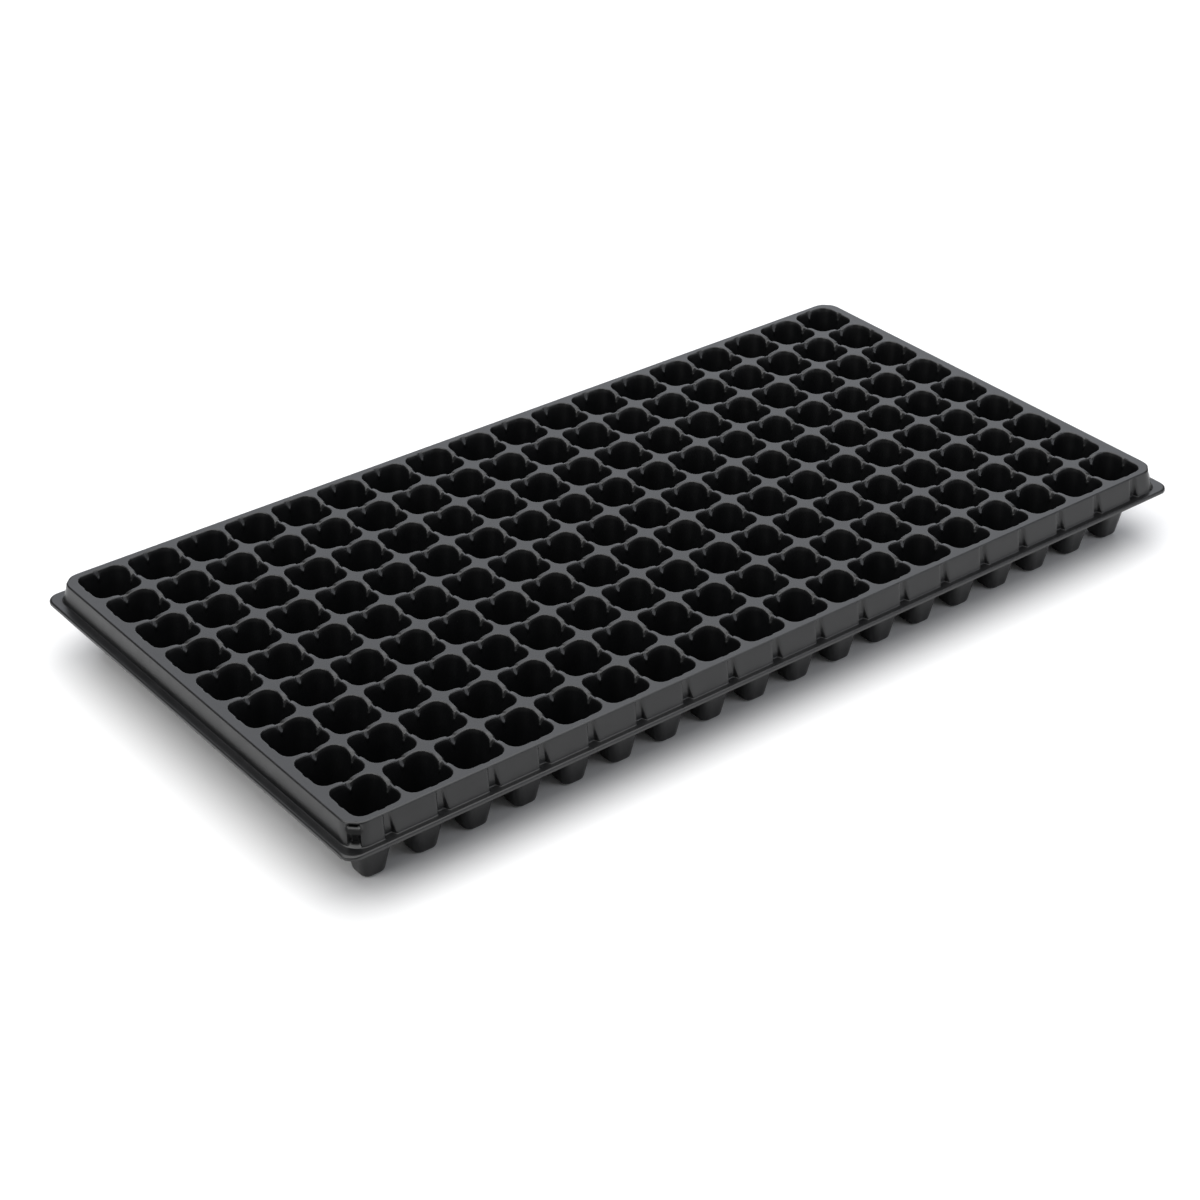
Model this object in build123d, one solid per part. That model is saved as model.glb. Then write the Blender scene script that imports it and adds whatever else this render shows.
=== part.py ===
from build123d import *

import os

# Plug tray: one thermoformed sheet with a grid of tapered cells under a flat deck, and a stiffening rim.
# The sheet is divided where its form changes: ridges and junctions of the deck, walls and floors of the
# cups, and the sides and corners of the rim. Neighbouring regions meet face to face.
# Millimetres, +Z up, +X along the long side. The origin is at the centre of the grid on the plane that
# the cell feet stand on. Front is -Y, back is +Y, left is -X and right is +X.

# Grid
COLUMNS = 18
ROWS = 9
PITCH = 28.8
GRID_HALF_X = COLUMNS * PITCH / 2
GRID_HALF_Y = ROWS * PITCH / 2

# Formed sheet
TRAY_HEIGHT = 42.1
DECK_THICKNESS = 0.8
CELL_WALL = 0.5
FLOOR_THICKNESS = 1.1
FOOT_EDGE = 0.6
DECK_UNDERSIDE = TRAY_HEIGHT - DECK_THICKNESS

# Cell, by the inner face of its wall: the mouth is on the deck, and the throat is just under the deck
MOUTH_HALF_WIDTH = 12.4
THROAT_HALF_WIDTH = MOUTH_HALF_WIDTH - DECK_THICKNESS
FLOOR_HALF_WIDTH = 5.8
MOUTH_CORNER_RADIUS = 5.6
THROAT_CORNER_RADIUS = 4.8
FLOOR_CORNER_RADIUS = 2.0
DRAIN_SLOT_WIDTH = 4.4

# A straight chamfer that touches a round corner at its middle has this many radii on each leg
CHAMFER_PER_RADIUS = 2 - 2**0.5

# Rim: the deck runs past the grid, turns down a sloped skirt, out along a flange and down a lip.
# The four values of a side are how far its levels stand beyond the grid
FLANGE_DEPTH = 11.4
LIP_DEPTH = 13.4
FLANGE_TOP = TRAY_HEIGHT - FLANGE_DEPTH
FLANGE_UNDERSIDE = FLANGE_TOP - DECK_THICKNESS
LIP_BOTTOM = TRAY_HEIGHT - LIP_DEPTH
LONG_EDGE, LONG_SKIRT_TOP, LONG_SKIRT_FOOT, LONG_FLANGE_EDGE = 2.3, 2.9, 5.8, 9.4
SHORT_EDGE, SHORT_SKIRT_TOP, SHORT_SKIRT_FOOT, SHORT_FLANGE_EDGE = 3.8, 4.8, 6.2, 11.0
DECK_CORNER_RADIUS = 8.3
FLANGE_CORNER_RADIUS = 7.0
CORNER_LEG = 10.0

# Flutes in the skirts of the long sides, one at the middle of each cell; a back is measured like a level
FLUTE_TOP_WIDTH = 3.6
FLUTE_FOOT_WIDTH = 5.4
FLUTE_TOP_BACK = LONG_EDGE
FLUTE_FOOT_BACK = 3.6

# Stacking recess in the skirt at each corner, on the diagonal
RECESS_WIDTH = 6.0
RECESS_HEIGHT = 5.4
RECESS_DEPTH = 2.0
RECESS_FLOOR_GAP = 0.6

# How far a cutting solid passes the face that it cuts
CUT_MARGIN = 1.0


def block(low, high):
    """A box between two corners."""
    size = [high[i] - low[i] for i in range(3)]
    middle = [(high[i] + low[i]) / 2 for i in range(3)]
    return Pos(*middle) * Box(*size)


def between(low_points, low_z, high_points, high_z):
    """A straight-sided solid between two polygons with the same number of corners."""
    low = Plane.XY.offset(low_z) * Polygon(*low_points, align=None)
    high = Plane.XY.offset(high_z) * Polygon(*high_points, align=None)
    return loft([low, high], ruled=True)


def turned(solids, turns):
    """The solids and their copies at equal turns about the Z axis."""
    return [Rot(0, 0, 360 / turns * turn) * solid for turn in range(turns) for solid in solids]


def corner_leg(radius, offset=0.0):
    """The chamfer leg of a cell corner of this radius, on an outline moved outwards by offset."""
    return CHAMFER_PER_RADIUS * (radius + offset)


def flat_half(half_width, radius, offset=0.0):
    """Half the straight part of a cell's side, on an outline moved outwards by offset."""
    return half_width + offset - corner_leg(radius, offset)


def side_section(half_width, radius):
    """The flat wall on a cell's +X side, cut across."""
    outer = half_width + CELL_WALL
    inner_flat = flat_half(half_width, radius)
    outer_flat = flat_half(half_width, radius, CELL_WALL)
    return [(half_width, -inner_flat), (outer, -outer_flat), (outer, outer_flat), (half_width, inner_flat)]


def corner_section(half_width, radius):
    """The chamfered wall at a cell's +X +Y corner, cut across."""
    outer = half_width + CELL_WALL
    inner_flat = flat_half(half_width, radius)
    outer_flat = flat_half(half_width, radius, CELL_WALL)
    return [(half_width, inner_flat), (outer, outer_flat), (outer_flat, outer), (inner_flat, half_width)]


def cup_walls():
    """The four flat and four corner walls of a cup, from its floor up to the deck."""
    sections = (side_section, corner_section)
    walls = [
        between(
            section(FLOOR_HALF_WIDTH, FLOOR_CORNER_RADIUS),
            FLOOR_THICKNESS,
            section(THROAT_HALF_WIDTH, THROAT_CORNER_RADIUS),
            DECK_UNDERSIDE,
        )
        for section in sections
    ]
    return turned(walls, 4)


def floor_plate(inset):
    """The outline of a cup's floor beside its drain slot, with its outer edges moved in."""
    outer = FLOOR_HALF_WIDTH + CELL_WALL - inset
    flat = flat_half(FLOOR_HALF_WIDTH, FLOOR_CORNER_RADIUS, CELL_WALL) - inset * (2**0.5 - 1)
    upper = [(outer, flat), (flat, outer), (DRAIN_SLOT_WIDTH / 2, outer)]
    return [(x, -y) for x, y in reversed(upper)] + upper


def cup_floor():
    """The floor of a cup: two plates with a drain slot between them, and a bevel round the foot."""
    return turned([between(floor_plate(FOOT_EDGE), 0, floor_plate(0), FLOOR_THICKNESS)], 2)


def deck_ridge():
    """The ridge between two neighbouring cells, along Y, with its sides sloping into both mouths."""

    def outline(mouth, radius):
        half = PITCH / 2 - mouth
        flat = flat_half(mouth, radius)
        return [(-half, -flat), (half, -flat), (half, flat), (-half, flat)]

    return between(
        outline(THROAT_HALF_WIDTH, THROAT_CORNER_RADIUS),
        DECK_UNDERSIDE,
        outline(MOUTH_HALF_WIDTH, MOUTH_CORNER_RADIUS),
        TRAY_HEIGHT,
    )


def deck_junction():
    """The diamond of deck between the corners of four cells."""

    def outline(mouth, radius):
        near = PITCH / 2 - mouth
        far = PITCH / 2 - flat_half(mouth, radius)
        right = [(near, -far), (far, -near), (far, near), (near, far)]
        return right + [(-x, -y) for x, y in right]

    return between(
        outline(THROAT_HALF_WIDTH, THROAT_CORNER_RADIUS),
        DECK_UNDERSIDE,
        outline(MOUTH_HALF_WIDTH, MOUTH_CORNER_RADIUS),
        TRAY_HEIGHT,
    )


def grid_block(bottom, top):
    """The whole grid of cells as a plain block."""
    return block((-GRID_HALF_X, -GRID_HALF_Y, bottom), (GRID_HALF_X, GRID_HALF_Y, top))


def cell_x(column):
    """The X of a column's middle; a half step lies on the line between two columns."""
    return (column - (COLUMNS - 1) / 2) * PITCH


def cell_y(row):
    """The Y of a row's middle; a half step lies on the line between two rows."""
    return (row - (ROWS - 1) / 2) * PITCH


def within_grid(solid):
    """A deck solid, cut off at the grid's edge if it crosses it."""
    box = solid.bounding_box()
    inside = max(abs(box.min.X), abs(box.max.X)) <= GRID_HALF_X
    inside = inside and max(abs(box.min.Y), abs(box.max.Y)) <= GRID_HALF_Y
    return solid if inside else solid & grid_block(DECK_UNDERSIDE, TRAY_HEIGHT)


def deck_column(column):
    """The deck of one column: its cross ridges, and the ridges and junctions along its left side."""
    ridge = deck_ridge()
    junction = deck_junction()
    solids = [Pos(cell_x(column), cell_y(row - 0.5)) * Rot(0, 0, 90) * ridge for row in range(ROWS + 1)]
    sides = [column - 0.5] if column < COLUMNS - 1 else [column - 0.5, column + 0.5]
    for side in sides:
        solids += [Pos(cell_x(side), cell_y(row)) * ridge for row in range(ROWS)]
        solids += [Pos(cell_x(side), cell_y(row - 0.5)) * junction for row in range(ROWS + 1)]
    return [within_grid(solid) for solid in solids]


def cup_column(column):
    """The nine cups of one column, from front to back."""
    cup = cup_walls() + cup_floor()
    return [Pos(cell_x(column), cell_y(row)) * solid for row in range(ROWS) for solid in cup]


def deck_run(start, end, edge, foot):
    """The deck past the grid from start to end along a side, with its outer face leaning out to foot."""
    low = [(start, -foot), (end, -foot), (end, 0), (start, 0)]
    high = [(start, -edge), (end, -edge), (end, 0), (start, 0)]
    return between(low, DECK_UNDERSIDE, high, TRAY_HEIGHT)


def flange_runs(half_length, skirt_foot, flange_edge):
    """The flange and its turned-down lip along a whole side."""
    lip_back = flange_edge - DECK_THICKNESS
    skirt_back = skirt_foot - DECK_THICKNESS
    flange = block((-half_length, -lip_back, FLANGE_UNDERSIDE), (half_length, -skirt_back, FLANGE_TOP))
    lip = block((-half_length, -flange_edge, LIP_BOTTOM), (half_length, -lip_back, FLANGE_TOP))
    return [flange, lip]


def skirt_solid(section):
    """A straight piece of the long side's skirt; section gives its plan at the foot and at the top."""
    foot = section(FLUTE_FOOT_WIDTH / 2, LONG_SKIRT_FOOT, FLUTE_FOOT_BACK)
    top = section(FLUTE_TOP_WIDTH / 2, LONG_SKIRT_TOP, FLUTE_TOP_BACK)
    return between(foot, FLANGE_TOP, top, DECK_UNDERSIDE)


def flute_back():
    """The recessed face of a flute, in the middle of its bay."""

    def section(edge, face, back):
        wide, inner = edge + DECK_THICKNESS, back - DECK_THICKNESS
        return [(-edge, -back), (edge, -back), (wide, -inner), (-wide, -inner)]

    return skirt_solid(section)


def flute_cheek():
    """The side of a flute at its +X edge, mitred to the skirt panel and to the flute's back."""

    def section(edge, face, back):
        wide = edge + DECK_THICKNESS
        return [
            (edge, -face),
            (wide, -(face - DECK_THICKNESS)),
            (wide, -(back - DECK_THICKNESS)),
            (edge, -back),
        ]

    return skirt_solid(section)


def skirt_panel(end):
    """The skirt from the flute's +X edge to the end of its bay."""

    def section(edge, face, back):
        inner = face - DECK_THICKNESS
        return [(edge, -face), (end, -face), (end, -inner), (edge + DECK_THICKNESS, -inner)]

    return skirt_solid(section)


def half_bay(end):
    """The +X half of a bay of the long side, without the flute's back: cheek, panel and deck."""
    half_flute = FLUTE_TOP_WIDTH / 2
    return [flute_cheek(), skirt_panel(end), deck_run(half_flute, end, LONG_EDGE, LONG_SKIRT_TOP)]


def bay(left_end, right_end):
    """One bay of the long side with its flute at x = 0, reaching left_end and right_end to either side."""
    half_flute = FLUTE_TOP_WIDTH / 2
    half_floor = FLUTE_FOOT_WIDTH / 2 + DECK_THICKNESS
    floor_back, floor_front = FLUTE_FOOT_BACK - DECK_THICKNESS, LONG_SKIRT_FOOT - DECK_THICKNESS
    middle = [
        flute_back(),
        deck_run(-half_flute, half_flute, LONG_EDGE, LONG_EDGE),
        block((-half_floor, -floor_front, FLANGE_UNDERSIDE), (half_floor, -floor_back, FLANGE_TOP)),
    ]
    left = [mirror(solid, about=Plane.YZ) for solid in half_bay(left_end)]
    return middle + half_bay(right_end) + left


def long_side():
    """The front rim between its corners, a bay to each column, with the grid's edge on the X axis."""
    half_length = GRID_HALF_X - CORNER_LEG
    last_end = PITCH / 2 - CORNER_LEG
    solids = flange_runs(half_length, LONG_SKIRT_FOOT, LONG_FLANGE_EDGE)
    for column in range(COLUMNS):
        left_end = last_end if column == 0 else PITCH / 2
        right_end = last_end if column == COLUMNS - 1 else PITCH / 2
        solids += [Pos(cell_x(column), 0) * solid for solid in bay(left_end, right_end)]
    return solids


def short_side():
    """A short side's rim between its corners, laid along the X axis like the long side."""
    half_length = GRID_HALF_Y - CORNER_LEG

    def section(face):
        inner = face - DECK_THICKNESS
        return [(-half_length, -face), (half_length, -face), (half_length, -inner), (-half_length, -inner)]

    skirt = between(section(SHORT_SKIRT_FOOT), FLANGE_TOP, section(SHORT_SKIRT_TOP), DECK_UNDERSIDE)
    deck = deck_run(-half_length, half_length, SHORT_EDGE, SHORT_SKIRT_TOP)
    return [skirt, deck] + flange_runs(half_length, SHORT_SKIRT_FOOT, SHORT_FLANGE_EDGE)


def rim_sides():
    """The solids of the four straight sides by name, each turned to its place."""
    places = {
        "front": (long_side, GRID_HALF_Y, 0),
        "back": (long_side, GRID_HALF_Y, 180),
        "right": (short_side, GRID_HALF_X, 90),
        "left": (short_side, GRID_HALF_X, 270),
    }
    return {
        f"rim_{name}": [Rot(0, 0, angle) * Pos(0, -distance) * solid for solid in side()]
        for name, (side, distance, angle) in places.items()
    }


def rim_outline(past_long, past_short, radius, z):
    """A rounded rectangle at height z that runs past the grid's long and short sides."""
    return Plane.XY.offset(z) * RectangleRounded(
        2 * (GRID_HALF_X + past_short), 2 * (GRID_HALF_Y + past_long), radius
    )


def skirt_form(inset, levels):
    """The inside of the skirt as a solid block, from (past long side, past short side, z) levels."""
    return loft(
        [rim_outline(long - inset, short - inset, DECK_CORNER_RADIUS, z) for long, short, z in levels],
        ruled=True,
    )


def flange_form(inset, top):
    """The flange's outline as a solid plate from the lip's bottom up, with its edge moved inwards."""
    outline = rim_outline(
        LONG_FLANGE_EDGE - inset, SHORT_FLANGE_EDGE - inset, FLANGE_CORNER_RADIUS - inset, LIP_BOTTOM
    )
    return extrude(outline, top - LIP_BOTTOM)


def corner_recesses(growth):
    """The stacking recesses of the four corners, as blocks set across the diagonals."""
    reach = DECK_CORNER_RADIUS + LONG_FLANGE_EDGE
    bottom = FLANGE_TOP + RECESS_FLOOR_GAP
    one = block(
        (DECK_CORNER_RADIUS - RECESS_DEPTH - growth, -RECESS_WIDTH / 2 - growth, bottom - growth),
        (reach, RECESS_WIDTH / 2 + growth, bottom + RECESS_HEIGHT + growth),
    )
    arc_x = GRID_HALF_X + SHORT_SKIRT_FOOT - DECK_CORNER_RADIUS
    arc_y = GRID_HALF_Y + LONG_SKIRT_FOOT - DECK_CORNER_RADIUS
    corners = [(1, 1, 45), (-1, 1, 135), (-1, -1, 225), (1, -1, 315)]
    return [Pos(sx * arc_x, sy * arc_y, 0) * Rot(0, 0, angle) * one for sx, sy, angle in corners]


def rim_ring():
    """The rim without its flutes, as one closed ring around the grid."""
    levels = [
        (LONG_SKIRT_FOOT, SHORT_SKIRT_FOOT, LIP_BOTTOM),
        (LONG_SKIRT_FOOT, SHORT_SKIRT_FOOT, FLANGE_TOP),
        (LONG_SKIRT_TOP, SHORT_SKIRT_TOP, DECK_UNDERSIDE),
    ]
    edge = (LONG_EDGE, SHORT_EDGE, TRAY_HEIGHT)
    outside = skirt_form(0, levels + [edge]) + flange_form(0, FLANGE_TOP) - corner_recesses(0)
    inside = skirt_form(DECK_THICKNESS, levels) - corner_recesses(DECK_THICKNESS)
    inside = inside + flange_form(DECK_THICKNESS, FLANGE_UNDERSIDE)
    return outside - inside - grid_block(LIP_BOTTOM, TRAY_HEIGHT)


def rim_corners():
    """The four corners of the rim by name, cut from the ring a leg's length from the grid's corners."""
    ring = rim_ring()
    near_x, far_x = GRID_HALF_X - CORNER_LEG, GRID_HALF_X + SHORT_FLANGE_EDGE + CUT_MARGIN
    near_y, far_y = GRID_HALF_Y - CORNER_LEG, GRID_HALF_Y + LONG_FLANGE_EDGE + CUT_MARGIN
    spans_x = {"left": (-far_x, -near_x), "right": (near_x, far_x)}
    spans_y = {"front": (-far_y, -near_y), "back": (near_y, far_y)}
    corners = {}
    for side_y, (y0, y1) in spans_y.items():
        for side_x, (x0, x1) in spans_x.items():
            corner = ring & block((x0, y0, 0), (x1, y1, TRAY_HEIGHT))
            corners[f"rim_corner_{side_y}_{side_x}"] = list(corner.solids())
    return corners


def write_node(name, solids):
    """Writes one node as a STEP file of its separate solids."""
    export_step(Compound(children=solids), os.path.join("parts", f"{name}.step"))


def main():
    os.makedirs("parts", exist_ok=True)
    for column in range(COLUMNS):
        write_node(f"deck_column_{column + 1:02d}", deck_column(column))
        write_node(f"cup_column_{column + 1:02d}", cup_column(column))
    for name, solids in (rim_sides() | rim_corners()).items():
        write_node(name, solids)


main()
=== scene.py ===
"""Looks of the plug tray: one formed sheet of black polystyrene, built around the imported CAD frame.

Each column of cells and each stretch of the rim is one closed piece of that sheet: an upper face and a lower
face with the sheet's thickness between them. Neighbouring pieces meet on the flat middle of a ridge.
Shapes are worked out in millimetres and turned into metres when a mesh is made.
"""
import math

import bpy
import numpy as np
from mathutils import Matrix, Vector


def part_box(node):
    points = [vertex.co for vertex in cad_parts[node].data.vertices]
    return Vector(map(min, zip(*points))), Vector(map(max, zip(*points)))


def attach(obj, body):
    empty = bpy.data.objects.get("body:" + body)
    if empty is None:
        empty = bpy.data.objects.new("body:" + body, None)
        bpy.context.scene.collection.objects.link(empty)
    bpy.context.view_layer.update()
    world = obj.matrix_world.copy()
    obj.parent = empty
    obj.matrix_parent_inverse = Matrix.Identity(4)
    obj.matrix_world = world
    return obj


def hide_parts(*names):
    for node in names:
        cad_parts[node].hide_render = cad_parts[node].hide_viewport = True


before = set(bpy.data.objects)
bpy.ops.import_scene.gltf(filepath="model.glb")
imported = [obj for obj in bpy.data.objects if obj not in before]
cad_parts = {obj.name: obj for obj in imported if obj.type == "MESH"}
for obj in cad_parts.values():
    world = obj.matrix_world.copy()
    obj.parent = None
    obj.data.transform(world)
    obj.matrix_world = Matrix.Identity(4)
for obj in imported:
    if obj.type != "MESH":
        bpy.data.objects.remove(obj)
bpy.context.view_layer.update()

MM = 0.001


def node_box(node):
    """Lowest and highest corner of a CAD node, in millimetres."""
    low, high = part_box(node)
    return np.array(low) / MM, np.array(high) / MM


# Layout, read from the frame
DECK_LOW, DECK_HIGH = node_box("deck_column_01")
FRONT_LOW, FRONT_HIGH = node_box("rim_front")
LEFT_LOW, LEFT_HIGH = node_box("rim_left")
GRID_HALF_X = -DECK_LOW[0]
GRID_HALF_Y = DECK_HIGH[1]
COLUMNS = sum(name.startswith("cup_column_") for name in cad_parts)
PITCH = 2 * GRID_HALF_X / COLUMNS
ROWS = round(2 * GRID_HALF_Y / PITCH)
TRAY_HEIGHT = DECK_HIGH[2]
DECK_THICKNESS = DECK_HIGH[2] - DECK_LOW[2]
SEAM = PITCH / 2
LIP_DEPTH = TRAY_HEIGHT - FRONT_LOW[2]
LONG_FLANGE_EDGE = -GRID_HALF_Y - FRONT_LOW[1]
SHORT_FLANGE_EDGE = -GRID_HALF_X - LEFT_LOW[0]

# Every profile starts with two levels on the deck: its border, and one a short lead before the rolled edge
DECK_LEVELS = 2
LEAD = 0.2
ROLL_STEPS = 6

# Cell, as half widths and depths below the deck. The wall is one straight draft line from mouth to foot, and
# the sheet thins from the deck's thickness to the wall's over the first few millimetres
WALL_THICKNESS = 0.5
THIN_DEPTH = 4.0
DRAFT = math.tan(math.radians(9.9))
WALL_TOP_HALF = 12.96
MOUTH_HALF = 13.0
MOUTH_ROLL = 0.7
MOUTH_ROLL_TURN = math.radians(80)
MOUTH_CORNER = 5.7
FOOT_CORNER = 3.0
FLOOR_DEPTH = TRAY_HEIGHT - WALL_THICKNESS
FOOT_ROLL = 1.8
FOOT_STEPS = 4
TIP_DEPTH = 4.4
WALL_DEPTHS = [1.7, 2.6, 3.5, TIP_DEPTH, 5.6, 7.5, 10, 13, 17, 22, 28, 34, 39.2]
CORNER_STEPS = 4

# Oblong drain hole, with a narrow land round it. The profile's last levels are the rolled foot and the land
DRAIN_HALF_X = 2.2
DRAIN_HALF_Y = 3.6
DRAIN_CORNER = 1.6
DRAIN_LAND = 0.4
FOOT_LEVELS = FOOT_STEPS + 2

# Rib in the middle of each wall: a facet from the ridge down to a tip, then a cusp that fades. Between two
# cells the ridge dips at the facet, and beside the rim it stays level. Each top is the start of the facet's
# middle line, as half widths and heights below the deck
TIP_HALF = 11.7
DIP_DEPTH = 1.2
DIP_HALF = 6.5
DIP_SHARE = 0.85
DIPPED_TOP = [(SEAM, -DIP_DEPTH), (SEAM - 0.4, -DIP_DEPTH - 0.03), (SEAM - 1, -DIP_DEPTH - 0.45)]
LEVEL_TOP = [(SEAM, 0), (MOUTH_HALF + 0.9, 0), (MOUTH_HALF + 0.3, -0.6)]
FACET_HALF = 2.8
FACET_TIP_HALF = 0.9
FACET_TAPER = 1.3
FACET_FLAT = 0.45
FACET_LIMIT = 0.6
CUSP_HALF = 3.5
CUSP_PROUD = 0.3
CUSP_END_DEPTH = 22.0

# Points across half a wall, as shares of the facet and then of the flat part beside it
FACET_STEPS = [0.25, 0.5, 0.75, 1.0]
FLAT_STEPS = [0.12, 0.35, 0.65, 1.0]

# Rim, as distances past the grid and depths below the deck. A skirt is given by its top and its foot, and the
# plain short skirt has the same number of steps at each cell
FLANGE_DEPTH = 11.4
LONG_SKIRT = (2.68, 5.8)
SHORT_SKIRT = (4.69, 6.2)
SHORT_STEPS_PER_CELL = 8
EDGE_ROLL = 0.9
FOOT_FILLET = 0.5
FILLET_STEPS = 4
FLANGE_FLAT = 1.4
FLANGE_ROLL = 0.9
LIP_STEPS = 5
LIP_LAND = 0.5
SKIRT_DEPTHS = [0.75, 0.9, 2.5, 2.7, 3.9, 5.4, 5.6, 7.4, 9.2, 10.5]

# Flute at the middle of each cell on the long sides. Its cheek goes from the flute's back to the face of the
# skirt: each pair is a distance past the flute's half width and the share of the flute's depth there. The
# plain panel between two flutes has a point at PANEL_STEP from the middle of each
FLUTE_BACK = (1.7, 3.3)
FLUTE_TOP_HALF = 1.8
FLUTE_FOOT_HALF = 2.7
FLUTE_EDGE_ROLL = 0.36
FLUTE_CHEEK = [(-0.8, 1), (-0.6, 0.93), (-0.1, 0.45), (0.4, 0.05), (0.6, 0), (1.8, 0)]
PANEL_STEP = 9.5
FLUTE_TOP_LEVEL = DECK_LEVELS + ROLL_STEPS - 1
FILLET_LEVEL = FLUTE_TOP_LEVEL + 1 + len(SKIRT_DEPTHS)
FLUTE_LAST_LEVEL = FILLET_LEVEL + FILLET_STEPS - 1

# Corner of the rim: an arc between two straight legs, with more points where the arc's features end
DECK_CORNER_RADIUS = 9.8
FLANGE_CORNER_RADIUS = 7.0
CORNER_END_X = FRONT_HIGH[0]
CORNER_END_Y = LEFT_HIGH[1]
CORNER_LEGS = 5
HALF_ARC = np.radians([0, 8, 16, 19, 21.5, 24, 26, 29, 33, 39, 45])
CORNER_ARC = np.concatenate([HALF_ARC, math.pi / 2 - HALF_ARC[-2::-1]])

# Slit, patch and recess on the corner's diagonal, as half widths, depths and how far they cut into the arc
SLIT_HALF = 3.0
PATCH_HALF = 4.1
RECESS_HALF = 2.8
SIDE_BLEND = 0.5
SLIT_DEPTHS = (0.85, 2.6)
PATCH_DEPTHS = (SLIT_DEPTHS[1], 5.5)
EDGE_CUT = 0.3
SLIT_CUT = 3.3
PATCH_TOP_CUT = 1.0
PATCH_FOOT_CUT = 0.25
RECESS_CUT = 2.3
RECESS_LEAN = 0.29

# Smooth shading stops at folds sharper than this
SHARP_ANGLE = math.radians(65)

# The middle of an edge that is closer than this to a cell's border is on it
BORDER_TOLERANCE = 0.01

# Materials. A noise is given by its waves per metre and its detail, and a bump by its strength and its
# height in metres
NOISE_RANGE = (0.2, 0.8)
SHEET_DARK = (0.002, 0.0021, 0.0024)
SHEET_LIGHT = (0.0035, 0.0037, 0.0041)
SHEET_COLOUR_NOISE = (60, 5)
SHEET_ROUGHNESS = (0.27, 0.36)
SHEET_ROUGHNESS_NOISE = (140, 4)
SHEET_WAVE_NOISE = (45, 2)
SHEET_WAVE_BUMP = (0.25, 0.0006)
SHEET_GRAIN_NOISE = (2600, 3)
SHEET_GRAIN_BUMP = (0.2, 0.00006)
SHEET_IOR = 1.52
FLOOR_DARK = (0.86, 0.86, 0.86)
FLOOR_LIGHT = (0.88, 0.88, 0.88)
FLOOR_NOISE = (3, 2)
FLOOR_ROUGHNESS = 0.9
FLOOR_SPECULAR = 0.2

# Studio, in metres and watts: each light's place, size, power and colour
WORLD_STRENGTH = 0.22
WHITE = (1, 1, 1)
COOL_WHITE = (0.9, 0.93, 1.0)
LIGHTS = {
    "overhead": ((0, 0, 2.2), 3.0, 64, WHITE),
    "rear": ((1.37, 1.72, 1.38), 2.6, 26.5, COOL_WHITE),
    "side": ((1.15, -1.55, 1.03), 1.6, 10.5, COOL_WHITE),
    "left": ((-2.2, 0.1, 1.9), 2.0, 32, WHITE),
}
FLOOR_HALF = 6.0


def smooth(value):
    """A smooth step from 0 to 1 as the value goes from 0 to 1."""
    value = np.clip(value, 0, 1)
    return value * value * (3 - 2 * value)


def run_lengths(profile):
    """Distance along a profile from its start to each of its points."""
    steps = np.linalg.norm(np.diff(profile, axis=0), axis=1)
    return np.concatenate([[0], np.cumsum(steps)])


def offset_profile(profile, thickness):
    """The profile moved to the sheet's other face. Its ends move straight down or straight in."""
    tangent = np.gradient(profile, axis=0)
    tangent /= np.linalg.norm(tangent, axis=1)[:, None]
    normal = np.stack([-tangent[:, 1], tangent[:, 0]], axis=1)
    for end in (0, -1):
        main = np.argmax(abs(normal[end]))
        normal[end, 1 - main] = 0
        normal[end, main] = math.copysign(1, normal[end, main])
    return profile + normal * np.asarray(thickness)[..., None]


# ---------------------------------------------------------------- cells

def wall_half(depth):
    """Half width of the straight draft line at a depth."""
    return WALL_TOP_HALF - DRAFT * depth


def cell_profile():
    """(half width, height below the deck) from the middle of the ridge down the wall to the drain hole."""
    roll_start = MOUTH_HALF + MOUTH_ROLL * math.sin(MOUTH_ROLL_TURN)
    points = [(SEAM, 0), (roll_start + LEAD, 0)]
    for turn in np.linspace(0, MOUTH_ROLL_TURN, ROLL_STEPS):
        points.append((roll_start - MOUTH_ROLL * math.sin(turn), -MOUTH_ROLL * (1 - math.cos(turn))))
    for depth in WALL_DEPTHS:
        points.append((wall_half(depth), -depth))
    centre_depth = FLOOR_DEPTH - FOOT_ROLL
    centre_half = wall_half(centre_depth) - FOOT_ROLL
    for turn in np.linspace(0, math.pi / 2, FOOT_STEPS):
        points.append((centre_half + FOOT_ROLL * math.cos(turn), -centre_depth - FOOT_ROLL * math.sin(turn)))
    points += [(DRAIN_HALF_X + DRAIN_LAND, -FLOOR_DEPTH), (DRAIN_HALF_X, -FLOOR_DEPTH)]
    return np.array(points)


def level_at(profile, depth):
    """Number of the profile's level nearest to a depth."""
    return int(np.argmin(abs(profile[:, 1] + depth)))


def crest_profile(profile, dips):
    """The line down the middle of a wall, level by level with the profile beside it."""
    tip = level_at(profile, TIP_DEPTH)
    line = np.array((DIPPED_TOP if dips else LEVEL_TOP) + [(TIP_HALF, -TIP_DEPTH)])
    share = run_lengths(profile[:tip + 1])
    along = run_lengths(line)
    at = share / share[-1] * along[-1]
    crest = profile.copy()
    crest[:tip + 1, 0] = np.interp(at, along, line[:, 0])
    crest[:tip + 1, 1] = np.interp(at, along, line[:, 1])
    crest[tip:, 0] -= cusp_height(-profile[tip:, 1])
    return crest


def cusp_height(depth):
    """How far the cusp between the two halves of a wall stands into the cell."""
    rising = depth / TIP_DEPTH
    fading = (CUSP_END_DEPTH - depth) / (CUSP_END_DEPTH - TIP_DEPTH)
    return CUSP_PROUD * np.clip(np.minimum(rising, fading), 0, 1)


def wall_steps(facet, flat):
    """Places of the points across half a wall and its mirror image, with more of them in the facet."""
    places = [facet * step for step in FACET_STEPS]
    places += [facet + (flat - facet) * step for step in FLAT_STEPS]
    return np.array([-place for place in reversed(places)] + [0.0] + places)


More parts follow.
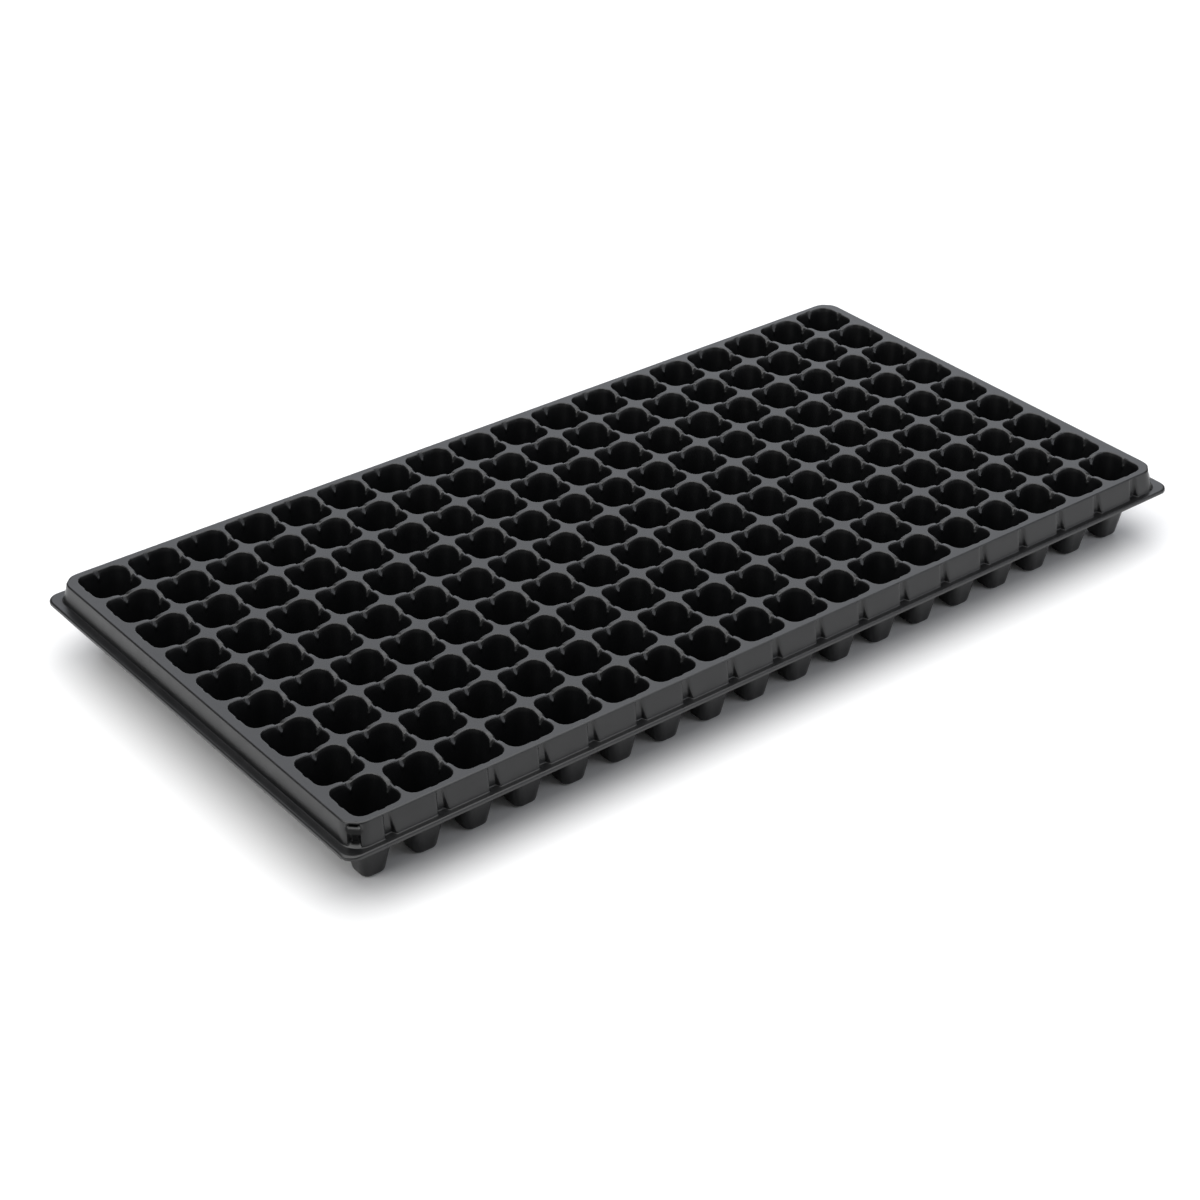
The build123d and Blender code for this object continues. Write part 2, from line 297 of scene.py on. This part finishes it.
def cell_corner(centre, radius, height, square):
    """Points of one level round a cell's corner. The outermost level is square, so that cells meet."""
    points = []
    for step in range(1, CORNER_STEPS):
        turn = math.pi / 2 * step / CORNER_STEPS
        away = np.array([math.cos(turn), math.sin(turn)])
        if square:
            away /= away.max()
        points.append([*(np.array(centre) + radius * away), height])
    return np.array(points)


class CellFace:
    """One face of a cell's sheet, upper or lower, as profiles that its loops follow."""

    def __init__(self, thickness_share, levels):
        profile = cell_profile()
        depth = -profile[:, 1]
        thickness = WALL_THICKNESS + (DECK_THICKNESS - WALL_THICKNESS) * np.clip(1 - depth / THIN_DEPTH, 0, 1)
        along = run_lengths(profile)
        to_tip = along / along[level_at(profile, TIP_DEPTH)]
        facet = FACET_TIP_HALF + (FACET_HALF - FACET_TIP_HALF) * np.clip(1 - to_tip, 0, 1) ** FACET_TAPER
        corner = MOUTH_CORNER + (FOOT_CORNER - MOUTH_CORNER) * depth / FLOOR_DEPTH
        corner += np.maximum(profile[:, 0] - MOUTH_HALF, 0)
        stretch = np.zeros(len(profile))
        stretch[-2:] = DRAIN_HALF_Y - DRAIN_HALF_X
        corner[-2:] = [DRAIN_CORNER + DRAIN_LAND, DRAIN_CORNER]
        moved = offset_profile(profile, thickness * thickness_share)
        self.profile = moved[levels]
        self.crests = {
            dips: offset_profile(crest_profile(profile, dips), thickness * thickness_share)[levels]
            for dips in (True, False)
        }
        self.corner = (corner + moved[:, 0] - profile[:, 0])[levels]
        self.facet = facet[levels]
        self.stretch = stretch[levels]
        self.cusp = cusp_height(depth)[levels]
        self.dip = (DIP_SHARE * DIP_DEPTH * np.clip(1 - depth / TIP_DEPTH, 0, 1))[levels]

    def side(self, level, dips, along_y):
        """Points of one level on the wall that faces +X, with the corner that follows it."""
        half, height = self.profile[level]
        crest_half, crest_height = self.crests[dips][level]
        reach = half
        if along_y:
            half = half + self.stretch[level]
            crest_half = crest_half + self.stretch[level]
        else:
            reach = half + self.stretch[level]
        radius = self.corner[level]
        flat = reach - radius
        facet = min(self.facet[level], FACET_LIMIT * flat)
        across = wall_steps(facet, flat)
        in_facet = 1 - smooth((abs(across) / facet - FACET_FLAT) / (1 - FACET_FLAT))
        beside = half - self.cusp[level] * np.clip(1 - abs(across) / CUSP_HALF, 0, 1) ** 2
        sunk = height
        if dips:
            sunk = height - self.dip[level] * (1 - smooth(abs(across) / DIP_HALF))
        x = beside + (crest_half - beside) * in_facet
        z = sunk + (crest_height - sunk) * in_facet
        wall = np.stack([x, across, z], axis=1)
        return np.concatenate([wall, cell_corner((half - radius, flat), radius, height, square=level == 0)])

    def loops(self, dipping):
        """All levels of the cell's four walls; dipping says which of them have a cell beyond."""
        levels = []
        for level in range(len(self.profile)):
            sides = []
            for quarter, dips in enumerate(dipping):
                side = self.side(level, dips, along_y=quarter % 2 == 1)
                for _ in range(quarter):
                    side = np.stack([-side[:, 1], side[:, 0], side[:, 2]], axis=1)
                sides.append(side)
            levels.append(np.concatenate(sides))
        return np.array(levels)


def grid_faces(rows, columns, start, closed):
    """Quads between neighbouring rows and columns of a grid of points numbered from start."""
    last = columns if closed else columns - 1
    row, column = np.meshgrid(np.arange(rows - 1), np.arange(last), indexing="ij")
    row, column = row.ravel(), column.ravel()
    after = (column + 1) % columns
    here, below = row * columns, (row + 1) * columns
    return start + np.stack([here + column, here + after, below + after, below + column], axis=1)


def strip_faces(first, second):
    """Quads that join two rows of equally many points, given by their numbers."""
    return np.stack([first[:-1], second[:-1], second[1:], first[1:]], axis=1)


def make_piece(name, points, faces, edge_faces, *nodes):
    """A piece of the sheet from points in millimetres; edge_faces close its edges and are shaded flat."""
    places, number = np.unique(np.round(points, 4), axis=0, return_inverse=True)
    number = number.ravel()
    quads = number[np.concatenate([faces, edge_faces])]
    mesh = bpy.data.meshes.new(name)
    mesh.from_pydata(places * MM, [], quads.tolist())
    mesh.polygons.foreach_set("use_smooth", np.arange(len(quads)) < len(faces))
    mesh.update()
    mesh.set_sharp_from_angle(angle=SHARP_ANGLE)
    piece = bpy.data.objects.new(name, mesh)
    bpy.context.scene.collection.objects.link(piece)
    mesh.materials.append(sheet_material)
    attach(piece, "root")
    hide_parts(*nodes)
    return piece


def cell_sheet(upper, lower, column, row):
    """Points, faces and closing faces of one cell, placed in the grid."""
    dipping = (column < COLUMNS - 1, row < ROWS - 1, column > 0, row > 0)
    grids = [upper.loops(dipping), lower.loops(dipping)]
    around = grids[0].shape[1]
    starts = [0, grids[0].shape[0] * around]
    faces = [
        grid_faces(len(grids[0]), around, starts[0], closed=True),
        grid_faces(len(grids[1]), around, starts[1], closed=True)[:, ::-1],
    ]
    ring = np.append(np.arange(around), 0)
    drain = strip_faces(ring + starts[1] - around, ring + starts[1] + (len(grids[1]) - 1) * around)
    border = strip_faces(ring, ring + starts[1])
    seam = grids[0][0]
    middle = (seam + np.roll(seam, -1, axis=0)) / 2
    outside = abs(middle[:, 0]) > SEAM - BORDER_TOLERANCE
    if row == 0:
        outside |= middle[:, 1] < -SEAM + BORDER_TOLERANCE
    if row == ROWS - 1:
        outside |= middle[:, 1] > SEAM - BORDER_TOLERANCE
    centre = [(column - (COLUMNS - 1) / 2) * PITCH, (row - (ROWS - 1) / 2) * PITCH, TRAY_HEIGHT]
    points = np.concatenate([grid.reshape(-1, 3) for grid in grids]) + centre
    return points, np.concatenate(faces), np.concatenate([drain[:, ::-1], border[outside]])


def cell_columns():
    """A piece for each column of cells, with its nine cups and the ridges round them."""
    count = len(cell_profile())
    tip = level_at(cell_profile(), TIP_DEPTH)
    wall = DECK_LEVELS + ROLL_STEPS
    foot = count - FOOT_LEVELS
    upper = CellFace(0, list(range(count)))
    lower = CellFace(1, [*range(0, wall, 2), wall - 1, *range(wall + 1, tip + 1, 2), *range(tip + 2, foot, 2),
                         *range(foot, count)])
    for column in range(COLUMNS):
        points, faces, edges, total = [], [], [], 0
        for row in range(ROWS):
            cell_points, cell_faces, cell_edges = cell_sheet(upper, lower, column, row)
            points.append(cell_points)
            faces.append(cell_faces + total)
            edges.append(cell_edges + total)
            total += len(cell_points)
        number = f"{column + 1:02d}"
        make_piece(f"column_{number}", np.concatenate(points), np.concatenate(faces), np.concatenate(edges),
                   f"deck_column_{number}", f"cup_column_{number}")


# ---------------------------------------------------------------- rim

def rim_profile(skirt, flange_edge, edge_roll):
    """(distance past the grid, height below the deck) over the deck's edge, skirt, flange and lip."""
    top, foot = skirt
    lean = math.atan((foot - top) / FLANGE_DEPTH)
    turn = math.pi / 2 - lean
    roll_run = edge_roll * math.tan(turn / 2)
    flat_end = top - roll_run
    points = [(0, 0), (flat_end - LEAD, 0)]
    for angle in np.linspace(0, turn, ROLL_STEPS):
        points.append((flat_end + edge_roll * math.sin(angle), -edge_roll * (1 - math.cos(angle))))
    for depth in SKIRT_DEPTHS:
        points.append((top + depth * math.tan(lean), -depth))
    fillet_run = FOOT_FILLET * math.tan(turn / 2)
    for angle in np.linspace(turn, 0, FILLET_STEPS):
        points.append((foot + fillet_run - FOOT_FILLET * math.sin(angle),
                       -FLANGE_DEPTH + FOOT_FILLET * (1 - math.cos(angle))))
    return np.array(points + flange_points(flange_edge))


def flange_points(edge):
    """The rim profile's points from the middle of the flange to the bottom of the lip."""
    roll_start = edge - FLANGE_ROLL
    points = [(roll_start - FLANGE_FLAT, -FLANGE_DEPTH), (roll_start - LEAD, -FLANGE_DEPTH)]
    for angle in np.linspace(0, math.pi / 2, LIP_STEPS):
        points.append((roll_start + FLANGE_ROLL * math.sin(angle),
                       -FLANGE_DEPTH - FLANGE_ROLL * (1 - math.cos(angle))))
    return points + [(edge, -LIP_DEPTH + LIP_LAND), (edge, -LIP_DEPTH)]


def flute_row(half):
    """Places along a long side, and the share of the flute's depth at each, for flutes of a half width."""
    steps = [(0, 1), (half / 2, 1)]
    steps += [(half + past, amount) for past, amount in FLUTE_CHEEK]
    steps.append((PANEL_STEP, 0))
    across, recessed = [], []
    for column in range(COLUMNS):
        centre = (column - (COLUMNS - 1) / 2) * PITCH
        for step, amount in steps[::-1]:
            across.append(centre - step)
            recessed.append(amount)
        for step, amount in steps[1:]:
            across.append(centre + step)
            recessed.append(amount)
    return np.array([-CORNER_END_X] + across[1:-1] + [CORNER_END_X]), np.array(recessed)


def rim_grid_long(inset):
    """Points of one face of the long side's sheet, level by level, with the grid's edge on the X axis."""
    face = rim_profile(LONG_SKIRT, LONG_FLANGE_EDGE, EDGE_ROLL)
    back = rim_profile(FLUTE_BACK, LONG_FLANGE_EDGE, FLUTE_EDGE_ROLL)
    face, back = [offset_profile(line, -inset) for line in (face, back)]
    levels = []
    for level, (outer, inner) in enumerate(zip(face, back)):
        share = np.clip(-outer[1] / FLANGE_DEPTH, 0, 1)
        half = FLUTE_TOP_HALF + (FLUTE_FOOT_HALF - FLUTE_TOP_HALF) * share + inset
        across, recessed = flute_row(half)
        if not FLUTE_TOP_LEVEL <= level <= FLUTE_LAST_LEVEL:
            recessed = 0 * recessed
        y = outer[0] + (inner[0] - outer[0]) * recessed
        z = outer[1] + (inner[1] - outer[1]) * recessed
        levels.append(np.stack([across, -y, z], axis=1))
    return np.array(levels)


def rim_grid_short(inset):
    """Points of one face of the short side's sheet, level by level, with the grid's edge on the X axis."""
    profile = offset_profile(rim_profile(SHORT_SKIRT, SHORT_FLANGE_EDGE, EDGE_ROLL), -inset)
    across = np.linspace(-CORNER_END_Y, CORNER_END_Y, SHORT_STEPS_PER_CELL * ROWS + 1)
    return np.array([[(x, -past, z) for x in across] for past, z in profile])


def corner_cut(depth):
    """How far the flat feature at a depth cuts into the corner's arc, and its half width."""
    if depth < SLIT_DEPTHS[0]:
        return EDGE_CUT, SLIT_HALF
    if depth < SLIT_DEPTHS[1]:
        return SLIT_CUT, SLIT_HALF
    if depth < PATCH_DEPTHS[1]:
        share = (depth - PATCH_DEPTHS[0]) / (PATCH_DEPTHS[1] - PATCH_DEPTHS[0])
        return PATCH_TOP_CUT + (PATCH_FOOT_CUT - PATCH_TOP_CUT) * share, PATCH_HALF
    return RECESS_CUT + RECESS_LEAN * (depth - PATCH_DEPTHS[1]), RECESS_HALF


def corner_reach(level, radius, depth, turned):
    """Distance of the surface from the corner's centre at an angle from the diagonal."""
    if not 1 <= level < FILLET_LEVEL:
        return radius
    cut, half = corner_cut(depth)
    across = abs(radius * math.sin(turned))
    window = float(smooth((half + SIDE_BLEND / 2 - across) / SIDE_BLEND))
    plane = min((radius - cut) / math.cos(turned), radius)
    return radius + (plane - radius) * window


def square_corner(z):
    """The first level of the corner, along the square border of the cell grid."""
    along = np.linspace(0, 1, CORNER_LEGS + len(CORNER_ARC) // 2 + 1)
    points = [(CORNER_END_X + (GRID_HALF_X - CORNER_END_X) * t, -GRID_HALF_Y, z) for t in along]
    points += [(GRID_HALF_X, -GRID_HALF_Y + (GRID_HALF_Y - CORNER_END_Y) * t, z) for t in along[1:]]
    return points


def rim_grid_corner(inset):
    """Points of one face of the front right corner's sheet, from the front side round to the right side."""
    long = offset_profile(rim_profile(LONG_SKIRT, LONG_FLANGE_EDGE, EDGE_ROLL), -inset)
    short = offset_profile(rim_profile(SHORT_SKIRT, SHORT_FLANGE_EDGE, EDGE_ROLL), -inset)
    whole = rim_profile(LONG_SKIRT, LONG_FLANGE_EDGE, EDGE_ROLL)
    leg = np.linspace(0, 1, CORNER_LEGS + 1)
    levels = [square_corner(long[0, 1])]
    for level in range(1, len(whole)):
        (past_y, z), (past_x, z_short) = long[level], short[level]
        on_flange = np.clip((whole[level, 0] - LONG_SKIRT[1]) / (LONG_FLANGE_EDGE - LONG_SKIRT[1]), 0, 1)
        radius = DECK_CORNER_RADIUS + (FLANGE_CORNER_RADIUS - DECK_CORNER_RADIUS) * on_flange
        radius += min(whole[level, 0] - LONG_SKIRT[0], 0) + past_y - whole[level, 0]
        outer_x, outer_y = GRID_HALF_X + past_x, GRID_HALF_Y + past_y
        centre_x, centre_y = outer_x - radius, outer_y - radius
        points = [(CORNER_END_X + (centre_x - CORNER_END_X) * t, -outer_y, z) for t in leg[:-1]]
        for angle in CORNER_ARC:
            reach = corner_reach(level, radius + inset, -whole[level, 1], angle - math.pi / 4) - inset
            turn = angle - math.pi / 2
            height = z + (z_short - z) * angle / (math.pi / 2)
            points.append((centre_x + reach * math.cos(turn), -centre_y + reach * math.sin(turn), height))
        points += [(outer_x, -centre_y + (centre_y - CORNER_END_Y) * t, z_short) for t in leg[1:]]
        levels.append(points)
    return np.array(levels)


def rim_piece(name, grids, place, mirrored=False):
    """A closed piece of the rim from its upper and lower grids; place moves points to where they belong."""
    rows, columns = grids[0].shape[:2]
    half = rows * columns
    upper = grid_faces(rows, columns, 0, closed=False)[:, ::-1]
    lower = grid_faces(rows, columns, half, closed=False)
    rings = [
        np.arange(0, columns),
        np.arange(columns - 1, half, columns),
        np.arange(half - 1, half - columns - 1, -1),
        np.arange(half - columns, -1, -columns),
    ]
    edges = np.concatenate([strip_faces(ring + half, ring) for ring in rings])
    faces = np.concatenate([upper, lower])
    if mirrored:
        faces, edges = faces[:, ::-1], edges[:, ::-1]
    points = place(np.concatenate([grid.reshape(-1, 3) for grid in grids]))
    make_piece(name, points + [0, 0, TRAY_HEIGHT], faces, edges, name)


def turned(points, angle):
    """Points turned about the vertical axis by an angle in degrees."""
    c, s = math.cos(math.radians(angle)), math.sin(math.radians(angle))
    return points @ np.array([[c, s, 0], [-s, c, 0], [0, 0, 1]])


def rim():
    """The four sides and four corners of the rim."""
    long = [rim_grid_long(inset) for inset in (0, DECK_THICKNESS)]
    short = [rim_grid_short(inset) for inset in (0, DECK_THICKNESS)]
    corner = [rim_grid_corner(inset) for inset in (0, DECK_THICKNESS)]
    sides = {
        "rim_front": (long, GRID_HALF_Y, 0),
        "rim_right": (short, GRID_HALF_X, 90),
        "rim_back": (long, GRID_HALF_Y, 180),
        "rim_left": (short, GRID_HALF_X, 270),
    }
    for name, (grids, distance, angle) in sides.items():
        rim_piece(name, grids, lambda points, d=distance, a=angle: turned(points - [0, d, 0], a))
    for y_name, y_sign in (("front", 1), ("back", -1)):
        for x_name, x_sign in (("right", 1), ("left", -1)):
            rim_piece(f"rim_corner_{y_name}_{x_name}", corner,
                      lambda points, x=x_sign, y=y_sign: points * [x, y, 1], mirrored=x_sign * y_sign < 0)


# ---------------------------------------------------------------- materials

def new_material(name):
    """A node material with its node tree and its shader."""
    material = bpy.data.materials.new(name)
    material.use_nodes = True
    tree = material.node_tree
    return material, tree, tree.nodes["Principled BSDF"]


def noise(tree, place, scale, detail):
    """A noise texture over the tray, with its scale in waves per metre."""
    node = tree.nodes.new("ShaderNodeTexNoise")
    node.inputs["Scale"].default_value = scale
    node.inputs["Detail"].default_value = detail
    tree.links.new(place, node.inputs["Vector"])
    return node.outputs["Fac"]


def mapped(tree, value, low, high):
    """A noise value spread out between low and high."""
    node = tree.nodes.new("ShaderNodeMapRange")
    node.inputs["From Min"].default_value = NOISE_RANGE[0]
    node.inputs["From Max"].default_value = NOISE_RANGE[1]
    node.inputs["To Min"].default_value = low
    node.inputs["To Max"].default_value = high
    tree.links.new(value, node.inputs["Value"])
    return node.outputs["Result"]


def mixed(tree, factor, first, second):
    """A colour between two others. Inputs 6 and 7 and output 2 of this node are its colours."""
    node = tree.nodes.new("ShaderNodeMix")
    node.data_type = "RGBA"
    node.inputs[6].default_value = (*first, 1)
    node.inputs[7].default_value = (*second, 1)
    tree.links.new(factor, node.inputs["Factor"])
    return node.outputs[2]


def bumped(tree, height, strength, distance, below=None):
    """A bump node, on top of another where one is given."""
    node = tree.nodes.new("ShaderNodeBump")
    node.inputs["Strength"].default_value = strength
    node.inputs["Distance"].default_value = distance
    tree.links.new(height, node.inputs["Height"])
    if below is not None:
        tree.links.new(below, node.inputs["Normal"])
    return node.outputs["Normal"]


def black_polystyrene():
    """Satin black sheet: uneven colour and gloss, fine grain and the waviness of a formed sheet."""
    material, tree, shader = new_material("black_polystyrene")
    place = tree.nodes.new("ShaderNodeNewGeometry").outputs["Position"]
    uneven = mapped(tree, noise(tree, place, *SHEET_COLOUR_NOISE), 0, 1)
    tree.links.new(mixed(tree, uneven, SHEET_DARK, SHEET_LIGHT), shader.inputs["Base Color"])
    gloss = mapped(tree, noise(tree, place, *SHEET_ROUGHNESS_NOISE), *SHEET_ROUGHNESS)
    tree.links.new(gloss, shader.inputs["Roughness"])
    wavy = bumped(tree, noise(tree, place, *SHEET_WAVE_NOISE), *SHEET_WAVE_BUMP)
    grain = bumped(tree, noise(tree, place, *SHEET_GRAIN_NOISE), *SHEET_GRAIN_BUMP, wavy)
    tree.links.new(grain, shader.inputs["Normal"])
    shader.inputs["IOR"].default_value = SHEET_IOR
    return material


def floor_material():
    """Matt white paint with a trace of mottling."""
    material, tree, shader = new_material("white_floor")
    place = tree.nodes.new("ShaderNodeNewGeometry").outputs["Position"]
    mottled = mixed(tree, noise(tree, place, *FLOOR_NOISE), FLOOR_DARK, FLOOR_LIGHT)
    tree.links.new(mottled, shader.inputs["Base Color"])
    shader.inputs["Roughness"].default_value = FLOOR_ROUGHNESS
    shader.inputs["Specular IOR Level"].default_value = FLOOR_SPECULAR
    return material


# ---------------------------------------------------------------- studio

def studio_floor():
    """A wide pale floor under the tray, which isn't part of it."""
    mesh = bpy.data.meshes.new("floor")
    corners = [(x * FLOOR_HALF, y * FLOOR_HALF, 0) for x, y in ((-1, -1), (1, -1), (1, 1), (-1, 1))]
    mesh.from_pydata(corners, [], [(0, 1, 2, 3)])
    mesh.materials.append(floor_material())
    floor = bpy.data.objects.new("floor", mesh)
    bpy.context.scene.collection.objects.link(floor)


def area_light(name, place, size, power, colour):
    """A square soft light at place that points at the tray."""
    data = bpy.data.lights.new(name, "AREA")
    data.shape = "SQUARE"
    data.size = size
    data.energy = power
    data.color = colour
    light = bpy.data.objects.new(name, data)
    light.location = place
    light.rotation_euler = (-Vector(place)).to_track_quat("-Z", "Y").to_euler()
    bpy.context.scene.collection.objects.link(light)


def studio_lights():
    """An even dim surround, and large soft lights above the tray and round it."""
    world = bpy.data.worlds.new("studio")
    world.use_nodes = True
    background = world.node_tree.nodes["Background"]
    background.inputs["Color"].default_value = (1, 1, 1, 1)
    background.inputs["Strength"].default_value = WORLD_STRENGTH
    bpy.context.scene.world = world
    for name, (place, size, power, colour) in LIGHTS.items():
        area_light(name, place, size, power, colour)


# Camera, in front of the tray and to its left. It looks at a point of the deck's plane
CAMERA_AZIMUTH = math.radians(-38.556)
CAMERA_ELEVATION = math.radians(32.145)
CAMERA_ROLL = math.radians(0.289)
CAMERA_DISTANCE = 45.39 * PITCH
CAMERA_AIM = (-2.087 * PITCH, -1.799 * PITCH, TRAY_HEIGHT)
CAMERA_LENS = 78.2
SENSOR_WIDTH = 36
CAMERA_REACH = 50


def studio_camera():
    """The camera at the photograph's viewing angle."""
    back = Vector((
        math.sin(CAMERA_AZIMUTH) * math.cos(CAMERA_ELEVATION),
        -math.cos(CAMERA_AZIMUTH) * math.cos(CAMERA_ELEVATION),
        math.sin(CAMERA_ELEVATION),
    ))
    right = (-back).cross(Vector((0, 0, 1))).normalized()
    up = right.cross(-back)
    rolled_right = right * math.cos(CAMERA_ROLL) + up * math.sin(CAMERA_ROLL)
    rolled_up = up * math.cos(CAMERA_ROLL) - right * math.sin(CAMERA_ROLL)
    data = bpy.data.cameras.new("camera")
    data.sensor_width = SENSOR_WIDTH
    data.lens = CAMERA_LENS
    data.clip_end = CAMERA_REACH
    camera = bpy.data.objects.new("camera", data)
    turn = Matrix((rolled_right, rolled_up, back)).transposed().to_4x4()
    place = (Vector(CAMERA_AIM) + back * CAMERA_DISTANCE) * MM
    camera.matrix_world = Matrix.Translation(place) @ turn
    bpy.context.scene.collection.objects.link(camera)
    bpy.context.scene.camera = camera


sheet_material = black_polystyrene()
cell_columns()
rim()
studio_floor()
studio_lights()
studio_camera()
bpy.context.scene.view_settings.view_transform = "Standard"
